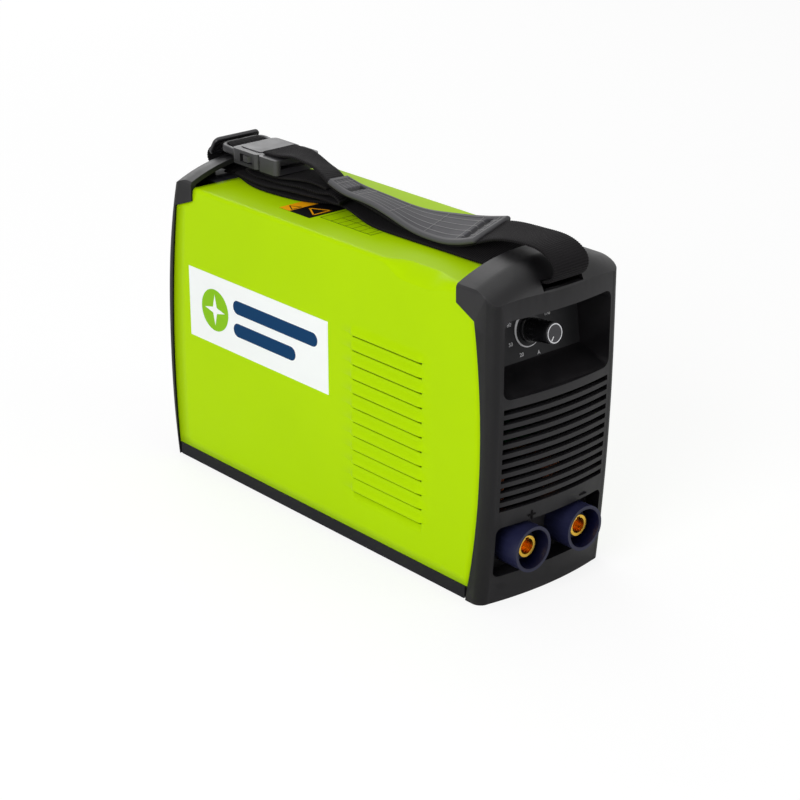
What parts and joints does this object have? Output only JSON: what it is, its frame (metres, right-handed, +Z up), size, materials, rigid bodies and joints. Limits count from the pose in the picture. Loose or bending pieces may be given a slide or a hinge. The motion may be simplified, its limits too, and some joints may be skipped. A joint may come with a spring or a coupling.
{
  "type": "stick welding inverter",
  "caption": "Stick welding inverter: folded steel cover between moulded end bezels, recessed current knob, output sockets, cooling fan, mains switch and a buckled carrying strap.",
  "frame": {"origin": "centre of the base, on the surface that the machine stands on, midway between the two bezels' faces", "axes": "+Z up, the front with the knob and the sockets looks along -Y, X is the width"},
  "size_m": [0.0946, 0.3165, 0.1975],
  "materials": {
    "green_paint": "gloss",
    "black_paint": "satin",
    "black_plastic": "fine grain",
    "panel_print": "printed",
    "label_film": "printed film",
    "caution_film": "printed film",
    "knob_plastic": "gloss",
    "bright_metal": "bright",
    "steel": "zinc plated",
    "brass": "turned",
    "blue_plastic": "moulded",
    "webbing": "ribbed webbing",
    "grip_rubber": "matt",
    "buckle_plastic": "moulded",
    "lamp_lens": "tinted",
    "circuit_board": "solder resist",
    "aluminium": "extruded",
    "component_black": "moulded",
    "ferrite": "pressed",
    "copper_winding": "enamelled",
    "copper_bar": "bare"
  },
  "bodies": {
    "housing": {"base_tray": "black_paint", "board_standoffs": "steel", "bridge_rectifier": "component_black", "buckle_plug": "buckle_plastic", "buckle_socket": "buckle_plastic", "bulk_capacitors": "component_black", "caution_label": "caution_film", "control_board": "circuit_board", "control_panel": "panel_print", "control_posts": "steel", "cord_gland": "black_plastic", "diode_heatsink": "aluminium", "earth_nuts": "brass", "earth_stud": "brass", "fan_frame": "component_black", "fan_screws": "steel", "front_bezel": "black_plastic", "gland_cap": "black_plastic", "gland_nut": "black_plastic", "indicator_lamps": "lamp_lens", "long_webbing": "webbing", "main_board": "circuit_board", "negative_bus_bar": "copper_bar", "negative_socket_contact": "brass", "negative_socket_shell": "blue_plastic", "positive_bus_bar": "copper_bar", "positive_socket_contact": "brass", "positive_socket_shell": "blue_plastic", "potentiometer": "steel", "potentiometer_nut": "steel", "rating_label": "label_film", "rear_bezel": "black_plastic", "sheet_cover": "green_paint", "short_webbing": "webbing", "side_label": "label_film", "slack_webbing": "webbing", "socket_nuts": "steel", "soft_start_relay": "component_black", "strap_pad": "grip_rubber", "switch_frame": "component_black", "transformer_core": "ferrite", "transformer_winding": "copper_winding", "transistor_heatsink": "aluminium", "transistors": "component_black"},
    "knob": {"knob_body": "knob_plastic", "knob_cap": "bright_metal", "potentiometer_shaft": "steel"},
    "rocker": {"switch_rocker": "component_black"},
    "fan": {"fan_rotor": "component_black"},
    "left_prong": {"buckle_left_prong": "buckle_plastic"},
    "right_prong": {"buckle_right_prong": "buckle_plastic"}
  },
  "joints": [
    {"name": "knob_turn", "type": "hinge", "parent": "housing", "child": "knob", "pos_m": [0.002, -0.12075, 0.143], "axis": [0, 0.9903, -0.1392], "range_deg": [0, 270]},
    {"name": "switch_rock", "type": "hinge", "parent": "housing", "child": "rocker", "pos_m": [-0.019, 0.1468, 0.035], "axis": [1, 0, 0], "range_deg": [0, 20]},
    {"name": "fan_spin", "type": "hinge", "parent": "housing", "child": "fan", "pos_m": [0, 0.1234, 0.097], "axis": [0, 1, 0], "continuous": true},
    {"name": "left_prong_squeeze", "type": "hinge", "parent": "housing", "child": "left_prong", "pos_m": [-0.0096, 0.088, 0.1921], "axis": [0, 0, -1], "range_deg": [0, 8], "stiffness_Nm_per_rad": 0.05, "springref_deg": -2.86},
    {"name": "right_prong_squeeze", "type": "hinge", "parent": "housing", "child": "right_prong", "pos_m": [0.0096, 0.088, 0.1921], "axis": [0, 0, 1], "range_deg": [0, 8], "stiffness_Nm_per_rad": 0.05, "springref_deg": -2.86}
  ]
}
